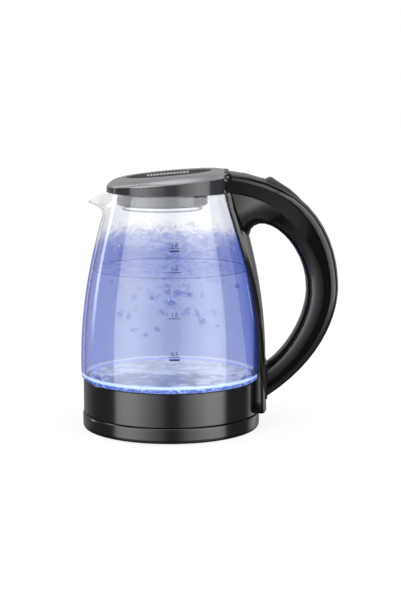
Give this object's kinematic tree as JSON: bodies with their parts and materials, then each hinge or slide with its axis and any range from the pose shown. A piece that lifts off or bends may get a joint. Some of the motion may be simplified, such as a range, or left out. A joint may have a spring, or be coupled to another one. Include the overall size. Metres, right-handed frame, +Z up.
{
  "type": "electric kettle",
  "caption": "Cordless glass kettle with a sprung-button hinged lid, loop handle, light ring and round swivel power base.",
  "frame": {"origin": "centre of the ring that the power base stands on, on the axis of the jug and the base, at table level", "axes": "+Z up along the axis of the jug, +X towards the handle, -X towards the spout, +Y towards the outlet of the supply cord"},
  "size_m": [0.22, 0.155, 0.2222],
  "materials": {
    "black_gloss": "gloss black ABS, lightly reflective",
    "black_satin": "satin black polypropylene",
    "core_black": "black ABS, recessed core of the handle",
    "switch_grey": "dark grey gloss ABS",
    "lid_grey": "silver-grey lacquer",
    "lid_dark": "dark smoke gloss plastic",
    "panel_dark": "dark gloss inlay",
    "chrome_trim": "bright chromed plastic",
    "steel": "brushed stainless steel",
    "screw_steel": "zinc-plated steel",
    "aluminium": "die-cut aluminium",
    "element": "sheathed element tube",
    "brass": "brass contacts",
    "clear_glass": "clear borosilicate glass",
    "light_guide": "frosted light guide",
    "clear_plastic": "clear plastic",
    "silicone": "pale silicone",
    "rubber_dark": "dark rubber",
    "white_plastic": "white heat-proof plastic",
    "board": "green circuit board",
    "lamp": "blue-white lamps"
  },
  "bodies": {
    "power_base": {"base_cover": "black_gloss", "base_plate": "black_satin", "foot_ring": "rubber_dark", "base_connector": "black_satin", "connector_contacts": "brass", "base_screws": "screw_steel", "cord_bushing": "rubber_dark"},
    "swivel": {"swivel_ring": "white_plastic"},
    "kettle": {"glass_jug": "clear_glass", "base_collar": "black_gloss", "bottom_cover": "black_satin", "light_ring": "light_guide", "led_board": "board", "led_lamps": "lamp", "heating_plate": "steel", "plate_seal": "silicone", "clamp_ring": "screw_steel", "heat_spreader": "aluminium", "heating_element": "element", "controller": "white_plastic", "controller_contacts": "brass", "bottom_screws": "screw_steel", "handle_strap": "black_gloss", "handle_inner": "black_gloss", "handle_core": "core_black", "handle_outer": "black_gloss", "steam_tube": "silicone", "switch_frame": "black_satin", "handle_screws": "screw_steel", "hinge_pin": "screw_steel", "hinge_spring": "screw_steel", "latch_pin": "screw_steel", "latch_spring": "screw_steel"},
    "lid": {"lid_band": "lid_dark", "lid_frame": "lid_grey", "lid_panel": "panel_dark", "lid_trim": "chrome_trim", "lid_catch": "screw_steel", "lid_plug": "steel", "steam_baffle": "clear_plastic"},
    "release_button": {"release_button": "switch_grey"},
    "latch": {"lid_latch": "white_plastic"},
    "power_switch": {"power_switch": "switch_grey"}
  },
  "joints": [
    {"name": "swivel", "type": "hinge", "parent": "power_base", "child": "swivel", "pos_m": [0, 0, 0], "axis": [0, 0, 1], "continuous": true},
    {"name": "lift_off", "type": "slide", "parent": "swivel", "child": "kettle", "axis": [0, 0, 1], "range_m": [0, 0.08]},
    {"name": "lid_hinge", "type": "hinge", "parent": "kettle", "child": "lid", "pos_m": [0.04754, 0, 0.216], "axis": [0, 1, 0], "range_deg": [0, 75]},
    {"name": "button_pivot", "type": "hinge", "parent": "kettle", "child": "release_button", "pos_m": [0.10714, 0, 0.19324], "axis": [0, -1, 0], "range_deg": [0, 3], "stiffness_Nm_per_rad": 1, "springref_deg": -5.73},
    {"name": "latch_pivot", "type": "hinge", "parent": "kettle", "child": "latch", "pos_m": [0.06374, 0, 0.2076], "axis": [0, 1, 0], "range_deg": [0, 3.23], "deforming": ["latch_spring"]},
    {"name": "switch_rocker", "type": "hinge", "parent": "kettle", "child": "power_switch", "pos_m": [0.0779, 0, 0.0212], "axis": [0, -1, 0], "range_deg": [0, 6]}
  ],
  "couplings": [
    {"joint": "latch_pivot", "follows": "button_pivot", "ratio": 1.0765}
  ]
}
